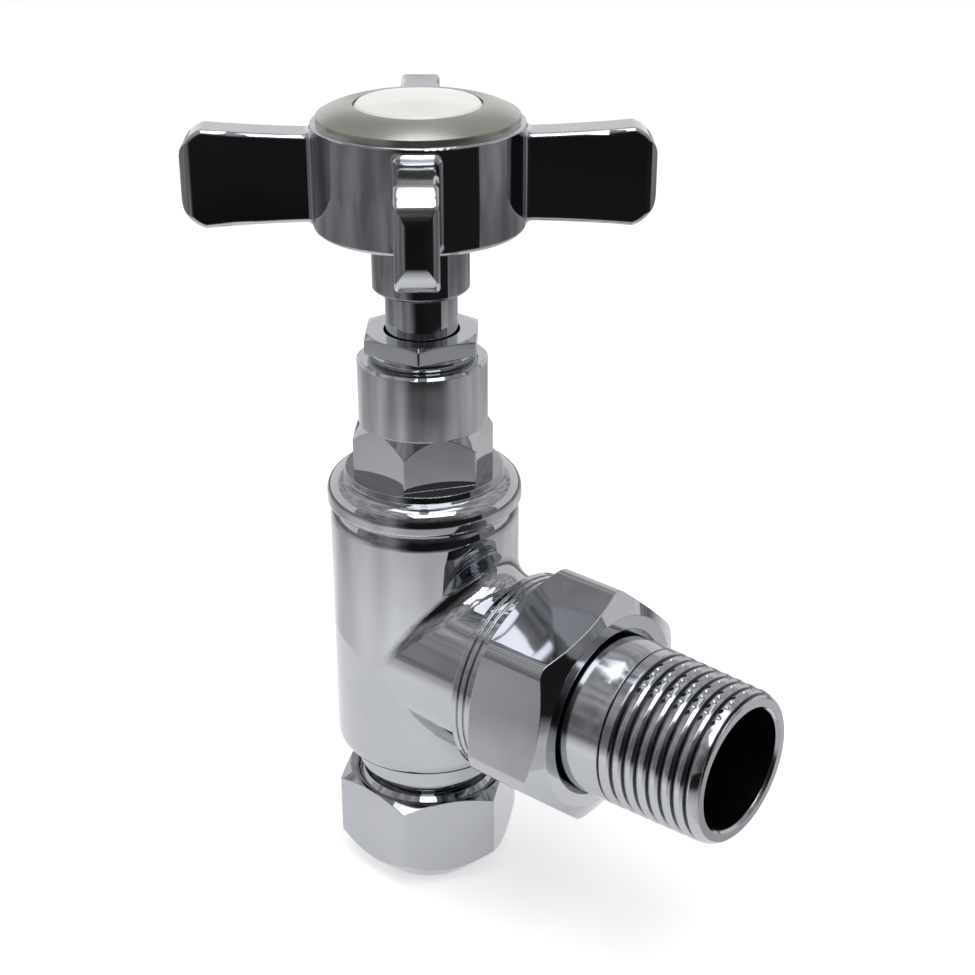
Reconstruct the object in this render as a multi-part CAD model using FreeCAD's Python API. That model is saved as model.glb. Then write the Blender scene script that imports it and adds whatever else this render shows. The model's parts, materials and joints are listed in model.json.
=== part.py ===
import FreeCAD, Part
import math
import os

from FreeCAD import Vector

# Angled manual radiator valve with a cross handle.
# The pipe and spindle share the Z axis, the radiator outlet runs along +X,
# and the foot of the compression nut stands on Z = 0. Millimetres throughout.

# Clearances, each measured on the radius or along the axis, and the margins of the cutters
thread_clearance = 0.10
slide_clearance = 0.10
running_clearance = 0.12
swivel_gap = 0.20
seal_gap = 0.02
cutter_margin = 1.0
match_tolerance = 0.01

# Inlet for a copper pipe
pipe_radius = 7.5
pipe_stop_depth = 23.0
neck_wall = 1.2
neck_land_length = 2.3
neck_undercut_length = 0.7
neck_undercut_depth = 0.7
neck_runout_length = 2.0
neck_engagement = 6.5
neck_lead_chamfer = 0.6
inlet_nut_height = 14.35
inlet_nut_wall = 1.15
inlet_nut_angle = -63.5
inlet_nut_foot_wall = 1.0
inlet_nut_foot_chamfer = 4.65
inlet_nut_countersink = 0.6
olive_length = 5.0
olive_wall = 1.2
olive_taper = 1.5
olive_lip = 0.4
nut_floor = 3.95

# Angle body
body_over_branch = 0.4
body_height = 42.4
body_foot_land = 0.5
bead_stand_out = 0.33
bead_height = 4.6
bead_edge = 0.4
bead_groove_height = 0.5
bead_groove_depth = 0.45
barrel_crown_height = 1.8
shoulder_round = 2.4
shoulder_rise = 0.9
shoulder_flat = 0.9
branch_crotch_round = 3.0
branch_nut_gap = 0.2
outlet_rise = 16.65
outlet_bore_radius = 7.6
outlet_reach = 26.5
port_radius = 5.5
seat_width = 0.8
seat_height = 0.9
seat_below_outlet = 0.1
chamber_gap = 0.5

# Union nut, tail and washer
tail_end = 52.8
tail_bore_radius = 8.05
tail_thread_radius = 10.4
tail_thread_length = 15.4
tail_land_step = 0.3
tail_end_chamfer = 1.2
tail_lip_width = 1.85
tail_flange_thickness = 1.7
tail_flange_catch = 0.7
union_hole_clearance = 0.7
union_nut_wall = 1.95
union_nut_angle = 18.0
union_nut_back = 17.0
union_nut_length = 15.3
union_face_width = 1.8
union_collar_wall = 1.6
union_collar_length = 3.2
union_collar_grooves = 2
union_groove_depth = 0.25
union_groove_width = 0.4
union_corner_round = 2.4
union_washer_thickness = 1.5

# Bonnet and gland
bonnet_flats = 16.8
bonnet_angle = -62.7
bonnet_hex_height = 6.9
bonnet_neck_wall = 2.3
bonnet_neck_height = 8.8
bonnet_neck_edge = 0.35
bonnet_shank_length = 15.5
bonnet_counterbore_depth = 4.8
o_ring_section = 1.3
o_ring_land = 1.4
gland_hole_clearance = 0.31
gland_wall = 1.2
gland_hex_wall = 1.0
gland_angle = -50.7
gland_hex_height = 2.1
gland_chamfer_angle = 12.0
gland_seat_height = 1.55
gland_seat_setback = 0.35
gland_seat_bulge = 0.35
gland_spigot_length = 4.8
gland_washer_thickness = 1.0
packing_height = 3.1
hex_corner_angle = 30.0
bonnet_chamfer_angle = 60.0
hex_corner_round = 0.35

# Spindle, jumper and valve washer
spindle_radius = 4.69
spindle_thread_step = 0.61
spindle_foot_step = 0.4
spindle_foot_length = 12.5
spindle_thread_length = 15.5
spindle_shoulder_depth = 1.5
square_side = 6.4
square_length = 9.8
tapped_depth = 9.0
rest_lift = 4.0
washer_thickness = 2.6
washer_overlap = 0.3
washer_grip = 1.8
jumper_wall = 0.8
jumper_plate = 2.2
jumper_stem_radius = 2.6
jumper_stem_length = 7.2
jumper_ring_height = 0.9
jumper_ring_bite = 0.35
jumper_ring_width = 0.9
jumper_ring_rise = 4.0
washer_screw_radius = 1.5
washer_screw_length = 6.0
washer_screw_head_radius = 3.2
washer_screw_head_height = 1.5

# Handle
handle_lift = 5.6
collar_wall = 1.5
collar_height = 8.4
collar_edge = 0.35
hub_radius = 13.4
hub_wall = 2.7
hub_height = 13.35
hub_lower_round = 0.5
hub_upper_round = 0.3
hub_cavity_depth = 8.1
arm_count = 4
arm_angle = 42.1
arm_reach = 29.6
arm_thickness = 5.2
arm_root_height = 11.0
arm_tip_height = 12.5
arm_waist = 0.15
arm_nose_length = 3.0
arm_nose_flat = 4.4
arm_nose_reach_share = 0.72
arm_nose_rise_share = 0.62
arm_bury_share = 0.67
arm_edge_round = 0.6
arm_tip_round = 1.6
arm_root_round = 0.9
arm_rise = 6.6
handle_screw_radius = 2.0
handle_screw_length = 11.0
handle_screw_head_radius = 3.6
handle_screw_head_height = 2.4
spring_washer_thickness = 0.9
spring_washer_gap = 0.8
screw_slot_width = 1.0
screw_slot_depth = 1.0

# Cap ring and index disc
cap_setback = 0.7
cap_rim_height = 0.75
cap_dome_rise = 1.35
cap_dome_bulge = 0.3
cap_spigot_length = 4.0
cap_spigot_wall = 1.6
cap_ledge_width = 1.2
cap_floor_lift = 0.3
disc_radius = 7.95
disc_proud = 0.15
disc_dome = 0.8
disc_edge = 0.35

# Radii that follow from the fits
pipe_bore_radius = pipe_radius + slide_clearance
neck_radius = pipe_bore_radius + olive_wall + slide_clearance + neck_wall
inlet_thread_radius = neck_radius + thread_clearance
inlet_nut_flats = 2 * (inlet_thread_radius + inlet_nut_wall)
tail_land_radius = tail_thread_radius + tail_land_step
union_hole_radius = tail_land_radius + union_hole_clearance
tail_flange_radius = union_hole_radius + tail_flange_catch
union_thread_radius = tail_flange_radius + 2 * slide_clearance
branch_radius = union_thread_radius + thread_clearance
body_radius = branch_radius + body_over_branch
body_foot_round = body_radius - neck_radius - body_foot_land
union_nut_flats = 2 * (branch_radius + union_nut_wall)
union_collar_radius = branch_radius + union_collar_wall
union_face_radius = union_hole_radius + union_face_width
washer_radius = port_radius + seat_width + washer_overlap
cup_radius = washer_radius + slide_clearance + jumper_wall
chamber_radius = cup_radius + chamber_gap
spindle_thread_radius = spindle_radius + spindle_thread_step
spindle_foot_radius = spindle_thread_radius + spindle_foot_step
gland_hole_radius = spindle_radius + gland_hole_clearance
gland_thread_radius = gland_hole_radius + gland_wall
gland_flats = 2 * (gland_thread_radius + gland_hex_wall)
gland_seat_radius = gland_flats / 2 - gland_seat_setback
bonnet_neck_radius = gland_thread_radius + thread_clearance + bonnet_neck_wall
collar_radius = spindle_radius + slide_clearance + collar_wall
hub_cavity_radius = hub_radius - hub_wall
cap_radius = hub_radius - cap_setback

# Levels along the spindle axis
neck_end = inlet_nut_height - neck_engagement
neck_runout_top = inlet_nut_height + neck_runout_length
olive_top = nut_floor + olive_length
olive_slope = (olive_wall - olive_lip) / olive_taper
body_foot = neck_runout_top + neck_land_length + neck_undercut_length
body_top = body_foot + body_height
outlet_height = body_foot + outlet_rise
seat_top = outlet_height - outlet_bore_radius - seat_below_outlet
chamber_floor = seat_top - seat_height
bonnet_foot = body_top - bonnet_shank_length
bonnet_neck_foot = body_top + bonnet_hex_height
bonnet_top = bonnet_neck_foot + bonnet_neck_height
gland_spigot_foot = bonnet_top - gland_spigot_length
packing_foot = gland_spigot_foot - gland_washer_thickness - packing_height
gland_top = bonnet_top + gland_seat_height + gland_hex_height
handle_foot = gland_top + handle_lift
hub_foot = handle_foot + collar_height
hub_top = hub_foot + hub_height
cavity_floor = hub_top - hub_cavity_depth
washer_foot = seat_top + rest_lift
plate_foot = washer_foot + washer_thickness
plate_top = plate_foot + jumper_plate
spindle_foot = plate_top + swivel_gap
spindle_shoulder = handle_foot + spindle_shoulder_depth
spindle_top = spindle_shoulder + square_length
ring_foot = plate_top + jumper_ring_rise

# Places along the outlet axis
union_front = union_nut_back + union_nut_length
tail_face = outlet_reach + union_washer_thickness
tail_flange_front = tail_face + tail_flange_thickness
tail_thread_end = tail_end - tail_end_chamfer
tail_thread_start = tail_thread_end - tail_thread_length


def turned(*path):
    """Turns a closed outline of (radius, height) points about Z.

    A point with four numbers ends an arc: its last two are a point that the arc passes through.
    """
    corners = [Vector(point[0], 0, point[1]) for point in path]
    edges = []
    for index, point in enumerate(path):
        start = corners[index - 1]
        end = corners[index]
        if len(point) == 4:
            middle = Vector(point[2], 0, point[3])
            edges.append(Part.Arc(start, middle, end).toShape())
        else:
            edges.append(Part.makeLine(start, end))
    section = Part.Face(Part.Wire(edges))
    return section.revolve(Vector(0, 0, 0), Vector(0, 0, 1), 360)


def ring(inner, outer, foot, top):
    return turned((inner, foot), (outer, foot), (outer, top), (inner, top))


def rod(radius, foot, top):
    return Part.makeCylinder(radius, top - foot, Vector(0, 0, foot))


def hexagon_bar(flats, angle, corner_round, foot, top):
    """Hexagon bar with softened corners; the angle is that of one corner."""
    corner = corner_radius(flats)
    angles = [math.radians(angle + 60 * step) for step in range(6)]
    corners = [Vector(corner * math.cos(a), corner * math.sin(a), foot) for a in angles]
    bar = Part.Face(Part.makePolygon(corners + corners[:1])).extrude(Vector(0, 0, top - foot))
    uprights = [edge for edge in bar.Edges if abs(edge.tangentAt(edge.FirstParameter).z) > 0.5]
    return bar.makeFillet(corner_round, uprights)


def square_bar(side, foot, top):
    half = side / 2
    return Part.makeBox(side, side, top - foot, Vector(-half, -half, foot))


def corner_radius(flats):
    return flats / 2 / math.cos(math.pi / 6)


def round_corner(radius, height, size, inward, upward):
    """Middle point of a quarter round that leaves a cylinder at (radius, height)."""
    reach = size * (1 - math.cos(math.pi / 4))
    rise = size * math.sin(math.pi / 4)
    return radius + inward * reach, height + upward * rise


def dome_point(radius, rise):
    """Point on a round dome, halfway from its rim to the axis: radius and height above the rim."""
    sphere = (radius ** 2 + rise ** 2) / (2 * rise)
    return radius / 2, math.sqrt(sphere ** 2 - radius ** 2 / 4) - (sphere - rise)


def along_outlet(shape):
    """Lays a piece that was turned about Z along the outlet axis, its Z becoming X."""
    laid = shape.copy()
    laid.rotate(Vector(0, 0, 0), Vector(1, 1, 1), 120)
    laid.translate(Vector(0, 0, outlet_height))
    return laid


def body_outline():
    """Neck, rounded foot, crowned barrel, groove, bead and domed shoulder of the angle body."""
    bead_radius = body_radius + bead_stand_out
    bead_top = body_top - shoulder_rise - shoulder_round
    bead_foot = body_top - bead_height
    shoulder_radius = corner_radius(bonnet_flats) + shoulder_flat
    relief = neck_radius - neck_undercut_depth
    land_top = neck_runout_top + neck_land_length
    foot_mid = round_corner(body_radius, body_foot + body_foot_round, body_foot_round, -1, -1)
    crown_mid = round_corner(bead_radius, bead_top, shoulder_round, -1, 1)
    crown_top = body_top - shoulder_rise
    groove_foot = bead_foot - bead_groove_height
    groove_radius = body_radius - bead_groove_depth
    barrel_top = groove_foot - barrel_crown_height
    half_way, swell = dome_point(barrel_crown_height, bead_groove_depth)
    bead_mid = round_corner(bead_radius, bead_foot + bead_edge, bead_edge, -1, -1)
    return turned(
        (0, neck_end),
        (neck_radius - neck_lead_chamfer, neck_end),
        (neck_radius, neck_end + neck_lead_chamfer),
        (neck_radius, inlet_nut_height - neck_undercut_depth),
        (relief, inlet_nut_height),
        (relief, neck_runout_top),
        (neck_radius, neck_runout_top),
        (neck_radius, land_top),
        (relief, land_top),
        (relief, body_foot),
        (body_radius - body_foot_round, body_foot),
        (body_radius, body_foot + body_foot_round, *foot_mid),
        (body_radius, barrel_top),
        (groove_radius, groove_foot, groove_radius + swell, barrel_top + half_way),
        (groove_radius, bead_foot),
        (bead_radius - bead_edge, bead_foot),
        (bead_radius, bead_foot + bead_edge, *bead_mid),
        (bead_radius, bead_top),
        (bead_radius - shoulder_round, crown_top, *crown_mid),
        (shoulder_radius, body_top),
        (0, body_top),
    )


def crotch_edges(solid):
    """Edges where the outlet branch grows out of the barrel."""
    found = []
    for edge in solid.Edges:
        middle = edge.valueAt((edge.FirstParameter + edge.LastParameter) / 2)
        from_axis = math.hypot(middle.x, middle.y)
        on_barrel = abs(from_axis - body_radius) < match_tolerance
        on_branch = abs(math.hypot(middle.y, middle.z - outlet_height) - branch_radius) < match_tolerance
        if on_barrel and on_branch:
            found.append(edge)
    return found


def make_valve_body():
    branch = along_outlet(rod(branch_radius, 0, union_nut_back - branch_nut_gap))
    outside = body_outline().fuse(branch).removeSplitter()
    outside = outside.makeFillet(branch_crotch_round, crotch_edges(outside))
    spigot = turned(
        (0, 0),
        (union_thread_radius, 0),
        (union_thread_radius, outlet_reach - neck_lead_chamfer),
        (union_thread_radius - neck_lead_chamfer, outlet_reach),
        (0, outlet_reach),
    )
    outside = outside.fuse(along_outlet(spigot))
    pocket_end = pipe_bore_radius + olive_lip + slide_clearance
    pocket_mouth = pocket_end + (olive_top - neck_end) * olive_slope
    inside = rod(chamber_radius, seat_top, body_top)
    inside = inside.fuse(ring(port_radius + seat_width, chamber_radius, chamber_floor, seat_top))
    inside = inside.fuse(rod(port_radius, pipe_stop_depth, seat_top))
    inside = inside.fuse(rod(pipe_bore_radius, neck_end, pipe_stop_depth))
    inside = inside.fuse(turned(
        (0, neck_end),
        (pocket_mouth, neck_end),
        (pocket_end, olive_top),
        (0, olive_top),
    ))
    inside = inside.fuse(along_outlet(rod(outlet_bore_radius, 0, outlet_reach)))
    return outside.cut(inside).removeSplitter()


def make_compression_nut():
    """Hexagon nut: deep cone on the pipe side, light chamfer on top, olive seat inside."""
    corner = corner_radius(inlet_nut_flats)
    face = inlet_nut_flats / 2
    top_drop = (corner - face) * math.tan(math.radians(hex_corner_angle))
    envelope = turned(
        (0, 0),
        (pipe_bore_radius + inlet_nut_foot_wall, 0),
        (corner, inlet_nut_foot_chamfer),
        (corner, inlet_nut_height - top_drop),
        (face, inlet_nut_height),
        (0, inlet_nut_height),
    )
    bar = hexagon_bar(inlet_nut_flats, inlet_nut_angle, hex_corner_round, 0, inlet_nut_height)
    ledge = pipe_bore_radius + olive_lip + slide_clearance
    cone_top = nut_floor + olive_taper
    olive_wall_radius = pipe_bore_radius + olive_wall + slide_clearance
    inside = turned(
        (0, 0),
        (pipe_bore_radius, 0),
        (pipe_bore_radius, nut_floor),
        (ledge, nut_floor),
        (olive_wall_radius, cone_top),
        (inlet_thread_radius, cone_top),
        (inlet_thread_radius, inlet_nut_height - inlet_nut_countersink),
        (inlet_thread_radius + inlet_nut_countersink, inlet_nut_height),
        (0, inlet_nut_height),
    )
    return bar.common(envelope).cut(inside)


def make_olive():
    lip = pipe_bore_radius + olive_lip
    crown = pipe_bore_radius + olive_wall
    return turned(
        (pipe_bore_radius, nut_floor),
        (lip, nut_floor),
        (crown, nut_floor + olive_taper),
        (crown, olive_top - olive_taper),
        (lip, olive_top),
        (pipe_bore_radius, olive_top),
    )


def make_union_nut():
    """Hexagon nut with a ringed round collar behind and a lip that traps the tail flange."""
    corner = corner_radius(union_nut_flats)
    slope = math.tan(math.radians(hex_corner_angle))
    back = union_nut_back
    collar_end = back + union_collar_length
    shoulder_drop = (corner - union_collar_radius) * slope
    front_drop = (corner - union_face_radius) * slope
    envelope = turned(
        (0, back),
        (union_collar_radius, back),
        (union_collar_radius, collar_end),
        (corner, collar_end + shoulder_drop),
        (corner, union_front - front_drop),
        (union_face_radius, union_front),
        (0, union_front),
    )
    bar = hexagon_bar(union_nut_flats, union_nut_angle, union_corner_round, collar_end, union_front)
    collar = rod(union_collar_radius, back, collar_end)
    pitch = union_collar_length / (union_collar_grooves + 1)
    for step in range(union_collar_grooves):
        middle = back + pitch * (step + 1)
        half = union_groove_width / 2
        floor = union_collar_radius - union_groove_depth
        collar = collar.cut(ring(floor, union_collar_radius + cutter_margin, middle - half, middle + half))
    nut = bar.common(envelope).fuse(collar)
    inside = rod(branch_radius, back, tail_flange_front)
    inside = inside.fuse(rod(union_hole_radius, tail_flange_front, union_front))
    return along_outlet(nut.cut(inside))


def make_union_washer():
    inner = tail_bore_radius + slide_clearance
    return along_outlet(ring(inner, tail_flange_radius, outlet_reach, tail_face))


def make_tailpiece():
    lip = tail_bore_radius + tail_lip_width
    return along_outlet(turned(
        (tail_bore_radius, tail_face),
        (tail_flange_radius, tail_face),
        (tail_flange_radius, tail_flange_front),
        (tail_land_radius, tail_flange_front),
        (tail_land_radius, tail_thread_start),
        (tail_thread_radius, tail_thread_start),
        (tail_thread_radius, tail_thread_end),
        (lip, tail_end),
        (tail_bore_radius, tail_end),
    ))


def make_bonnet():
    """Screwed-in headwork: threaded shank, hexagon, round neck and gland chamber."""
    corner = corner_radius(bonnet_flats)
    face = bonnet_flats / 2
    shank = chamber_radius - thread_clearance
    groove = shank - o_ring_section + slide_clearance
    groove_foot = bonnet_foot + o_ring_land
    groove_top = groove_foot + o_ring_section + slide_clearance
    stem = turned(
        (0, bonnet_foot),
        (shank, bonnet_foot),
        (shank, groove_foot),
        (groove, groove_foot),
        (groove, groove_top),
        (shank, groove_top),
        (shank, body_top),
        (0, body_top),
    )
    chamfer = (corner - face) * math.tan(math.radians(bonnet_chamfer_angle))
    envelope = turned(
        (0, body_top),
        (corner, body_top),
        (corner, bonnet_neck_foot - chamfer),
        (face, bonnet_neck_foot),
        (0, bonnet_neck_foot),
    )
    bar = hexagon_bar(bonnet_flats, bonnet_angle, hex_corner_round, body_top, bonnet_neck_foot)
    neck = turned(
        (0, bonnet_neck_foot - bonnet_neck_edge),
        (bonnet_neck_radius - bonnet_neck_edge, bonnet_neck_foot - bonnet_neck_edge),
        (bonnet_neck_radius, bonnet_neck_foot),
        (bonnet_neck_radius, bonnet_top - bonnet_neck_edge),
        (bonnet_neck_radius - bonnet_neck_edge, bonnet_top),
        (0, bonnet_top),
    )
    bore = spindle_thread_radius + running_clearance
    inside = rod(gland_thread_radius + thread_clearance, packing_foot, bonnet_top)
    inside = inside.fuse(rod(bore, bonnet_foot, packing_foot))
    counterbore = spindle_foot_radius + running_clearance + slide_clearance
    inside = inside.fuse(rod(counterbore, bonnet_foot, bonnet_foot + bonnet_counterbore_depth))
    return stem.fuse(bar.common(envelope)).fuse(neck).cut(inside).removeSplitter()


def make_bonnet_o_ring():
    """Round-section ring, squeezed flat where it meets the groove and the body."""
    outer = chamber_radius - seal_gap
    inner = chamber_radius - thread_clearance - o_ring_section + slide_clearance + seal_gap
    foot = bonnet_foot + o_ring_land + slide_clearance / 2
    top = foot + o_ring_section
    middle = (foot + top) / 2
    mean = (inner + outer) / 2
    flat = o_ring_section / 4
    return turned(
        (inner, middle - flat),
        (mean, foot, inner + flat / 2, foot + flat / 2),
        (outer, middle - flat, outer - flat / 2, foot + flat / 2),
        (outer, middle + flat),
        (mean, top, outer - flat / 2, top - flat / 2),
        (inner, middle + flat, inner + flat / 2, top - flat / 2),
    )


def make_gland_packing():
    inner = spindle_radius + running_clearance / 2
    return ring(inner, gland_thread_radius, packing_foot, packing_foot + packing_height)


def make_gland_washer():
    foot = packing_foot + packing_height
    return ring(gland_hole_radius, gland_thread_radius, foot, gland_spigot_foot)


def make_gland_nut():
    """Low hexagon on a rounded seat, with the threaded spigot that presses the packing."""
    corner = corner_radius(gland_flats)
    face = gland_flats / 2
    hex_foot = bonnet_top + gland_seat_height
    top_drop = (corner - face) * math.tan(math.radians(gland_chamfer_angle))
    envelope = turned(
        (0, hex_foot),
        (corner, hex_foot),
        (corner, gland_top - top_drop),
        (face, gland_top),
        (0, gland_top),
    )
    bar = hexagon_bar(gland_flats, gland_angle, hex_corner_round, hex_foot, gland_top)
    seat_middle = (bonnet_top + hex_foot) / 2
    seat = turned(
        (0, bonnet_top),
        (gland_seat_radius, bonnet_top),
        (gland_seat_radius, hex_foot, gland_seat_radius + gland_seat_bulge, seat_middle),
        (0, hex_foot),
    )
    nut = bar.common(envelope).fuse(seat)
    nut = nut.fuse(rod(gland_thread_radius, gland_spigot_foot, bonnet_top)).removeSplitter()
    return nut.cut(rod(gland_hole_radius, gland_spigot_foot, gland_top))


def make_spindle():
    """Foot with the jumper socket, threaded middle, plain stem and the square for the handle."""
    foot_top = spindle_foot + spindle_foot_length
    thread_top = foot_top + spindle_thread_length
    body = turned(
        (0, spindle_foot),
        (spindle_foot_radius, spindle_foot),
        (spindle_foot_radius, foot_top),
        (spindle_thread_radius, foot_top),
        (spindle_thread_radius, thread_top),
        (spindle_radius, thread_top),
        (spindle_radius, spindle_shoulder),
        (0, spindle_shoulder),
    )
    body = body.fuse(square_bar(square_side, spindle_shoulder, spindle_top))
    body = body.cut(rod(handle_screw_radius + thread_clearance, spindle_top - tapped_depth, spindle_top))
    socket = jumper_stem_radius + swivel_gap
    socket_top = plate_top + jumper_stem_length + swivel_gap
    body = body.cut(rod(socket, spindle_foot, socket_top))
    groove = jumper_stem_radius + jumper_ring_width + swivel_gap
    groove_foot = ring_foot - slide_clearance
    groove_top = ring_foot + jumper_ring_height + slide_clearance
    return body.cut(rod(groove, groove_foot, groove_top))


def make_jumper():
    """Swivelling cup that carries the valve washer, on a stem held in the spindle's foot."""
    recess = washer_radius + slide_clearance
    rim = plate_foot - washer_grip
    stem_top = plate_top + jumper_stem_length
    groove = jumper_stem_radius - jumper_ring_bite - slide_clearance
    groove_foot = ring_foot - slide_clearance
    groove_top = ring_foot + jumper_ring_height + slide_clearance
    tapped = washer_screw_radius + thread_clearance
    tapped_top = washer_foot + washer_screw_length + slide_clearance
    return turned(
        (tapped, plate_foot),
        (recess, plate_foot),
        (recess, rim),
        (cup_radius, rim),
        (cup_radius, plate_top),
        (jumper_stem_radius, plate_top),
        (jumper_stem_radius, groove_foot),
        (groove, groove_foot),
        (groove, groove_top),
        (jumper_stem_radius, groove_top),
        (jumper_stem_radius, stem_top),
        (0, stem_top),
        (0, tapped_top),
        (tapped, tapped_top),
    )


def make_jumper_ring():
    """Split snap ring between the jumper's stem and the spindle's socket."""
    inner = jumper_stem_radius - jumper_ring_bite
    outer = jumper_stem_radius + jumper_ring_width
    whole = ring(inner, outer, ring_foot, ring_foot + jumper_ring_height)
    split = Part.makeBox(outer + cutter_margin, inner, jumper_ring_height + 2 * cutter_margin)
    split.translate(Vector(0, -inner / 2, ring_foot - cutter_margin))
    return whole.cut(split)


def make_valve_washer():
    inner = washer_screw_radius + slide_clearance
    return ring(inner, washer_radius, washer_foot, plate_foot)


def slotted_screw(shank, length, head, head_height, seat):
    """Screw with a domed slotted head whose underside lies at the seat, shank upwards."""
    crown = head_height / 2
    dome_radius, dome_height = dome_point(head, crown)
    body = turned(
        (0, seat - head_height),
        (head, seat - crown, dome_radius, seat - crown - dome_height),
        (head, seat),
        (shank, seat),
        (shank, seat + length),
        (0, seat + length),
    )
    slot = Part.makeBox(3 * head, screw_slot_width, screw_slot_depth)
    slot.translate(Vector(-1.5 * head, -screw_slot_width / 2, seat - head_height))
    return body.cut(slot)


def make_washer_screw():
    return slotted_screw(
        washer_screw_radius,
        washer_screw_length,
        washer_screw_head_radius,
        washer_screw_head_height,
        washer_foot,
    )


def arm_outline():
    """Side view of one arm: waisted edges that flare to a blunt rounded nose."""
    root = hub_radius - hub_wall * arm_bury_share
    neck = arm_reach - arm_nose_length
    low = arm_root_height / 2
    high = arm_tip_height / 2
    flat = arm_nose_flat / 2
    waist_place = (root + neck) / 2
    waist = (low + high) / 2 - arm_waist
    nose_place = neck + arm_nose_length * arm_nose_reach_share
    nose = flat + (high - flat) * arm_nose_rise_share
    middle = hub_foot + arm_rise
    points = {
        "root_top": Vector(root, 0, middle + low),
        "waist_top": Vector(waist_place, 0, middle + waist),
        "neck_top": Vector(neck, 0, middle + high),
        "nose_top": Vector(nose_place, 0, middle + nose),
        "tip_top": Vector(arm_reach, 0, middle + flat),
        "tip_low": Vector(arm_reach, 0, middle - flat),
        "nose_low": Vector(nose_place, 0, middle - nose),
        "neck_low": Vector(neck, 0, middle - high),
        "waist_low": Vector(waist_place, 0, middle - waist),
        "root_low": Vector(root, 0, middle - low),
    }
    return Part.Wire([
        Part.Arc(points["root_top"], points["waist_top"], points["neck_top"]).toShape(),
        Part.Arc(points["neck_top"], points["nose_top"], points["tip_top"]).toShape(),
        Part.makeLine(points["tip_top"], points["tip_low"]),
        Part.Arc(points["tip_low"], points["nose_low"], points["neck_low"]).toShape(),
        Part.Arc(points["neck_low"], points["waist_low"], points["root_low"]).toShape(),
        Part.makeLine(points["root_low"], points["root_top"]),
    ])


def arm_plan():
    """Top view of one arm: parallel sides that turn in to a narrower blunt tip."""
    side = arm_thickness / 2
    bend = arm_reach - arm_tip_round
    nose = side - arm_tip_round
    sag_x, sag_y = round_corner(-side, bend, arm_tip_round, 1, 1)
    return Part.Wire([
        Part.makeLine(Vector(0, -side, 0), Vector(bend, -side, 0)),
        Part.Arc(Vector(bend, -side, 0), Vector(sag_y, sag_x, 0), Vector(arm_reach, -nose, 0)).toShape(),
        Part.makeLine(Vector(arm_reach, -nose, 0), Vector(arm_reach, nose, 0)),
        Part.Arc(Vector(arm_reach, nose, 0), Vector(sag_y, -sag_x, 0), Vector(bend, side, 0)).toShape(),
        Part.makeLine(Vector(bend, side, 0), Vector(0, side, 0)),
        Part.makeLine(Vector(0, side, 0), Vector(0, -side, 0)),
    ])


def make_arm():
    arm = Part.Face(arm_outline()).extrude(Vector(0, arm_thickness, 0))
    arm.translate(Vector(0, -arm_thickness / 2, 0))
    rims = []
    for edge in arm.Edges:
        middle = edge.valueAt((edge.FirstParameter + edge.LastParameter) / 2)
        on_side = abs(abs(middle.y) - arm_thickness / 2) < match_tolerance
        if on_side and middle.x > hub_radius:
            rims.append(edge)
    arm = arm.makeFillet(arm_edge_round, rims)
    return arm.common(Part.Face(arm_plan()).extrude(Vector(0, 0, hub_top)))


def arm_root_edges(solid):
    """Edges where the arms leave the hub."""
    spacing = 360 / arm_count
    found = []
    for edge in solid.Edges:
        middle = edge.valueAt((edge.FirstParameter + edge.LastParameter) / 2)
        from_axis = math.hypot(middle.x, middle.y)
        heading = math.degrees(math.atan2(middle.y, middle.x)) - arm_angle
        off_arm = math.radians((heading + spacing / 2) % spacing - spacing / 2)
        across = abs(from_axis * math.sin(off_arm)) < arm_thickness / 2 + match_tolerance
        on_hub = hub_radius - hub_lower_round < from_axis < hub_radius + match_tolerance
        between = hub_foot + match_tolerance < middle.z < hub_top - hub_upper_round - match_tolerance
        if across and on_hub and between and edge.Length < arm_root_height:
            found.append(edge)
    return found


def make_handle():
    """Cross handle casting: hub with a top cavity, four arms, collar and square socket."""
    lower_mid = round_corner(hub_radius, hub_foot + hub_lower_round, hub_lower_round, -1, -1)
    upper_mid = round_corner(hub_radius, hub_top - hub_upper_round, hub_upper_round, -1, 1)
    casting = turned(
        (0, handle_foot),
        (collar_radius - collar_edge, handle_foot),
        (collar_radius, handle_foot + collar_edge),
        (collar_radius, hub_foot),
        (hub_radius - hub_lower_round, hub_foot),
        (hub_radius, hub_foot + hub_lower_round, *lower_mid),
        (hub_radius, hub_top - hub_upper_round),
        (hub_radius - hub_upper_round, hub_top, *upper_mid),
        (0, hub_top),
    )
    arm = make_arm()
    for step in range(arm_count):
        placed = arm.copy()
        placed.rotate(Vector(0, 0, 0), Vector(0, 0, 1), arm_angle + 360 / arm_count * step)
        casting = casting.fuse(placed)
    casting = casting.removeSplitter()
    casting = casting.makeFillet(arm_root_round, arm_root_edges(casting))
    socket_top = spindle_top + slide_clearance
    inside = rod(hub_cavity_radius, cavity_floor, hub_top)
    inside = inside.fuse(rod(spindle_radius + slide_clearance, handle_foot, spindle_shoulder))
    inside = inside.fuse(square_bar(square_side + 2 * slide_clearance, spindle_shoulder, socket_top))
    inside = inside.fuse(rod(handle_screw_radius + 2 * slide_clearance, socket_top, cavity_floor))
    return casting.cut(inside)


def make_spring_washer():
    inner = handle_screw_radius + 2 * slide_clearance
    top = cavity_floor + spring_washer_thickness
    whole = ring(inner, handle_screw_head_radius, cavity_floor, top)
    gap = Part.makeBox(2 * handle_screw_head_radius, spring_washer_gap, 3 * spring_washer_thickness)
    gap.translate(Vector(0, -spring_washer_gap / 2, cavity_floor - spring_washer_thickness))
    return whole.cut(gap)


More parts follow.
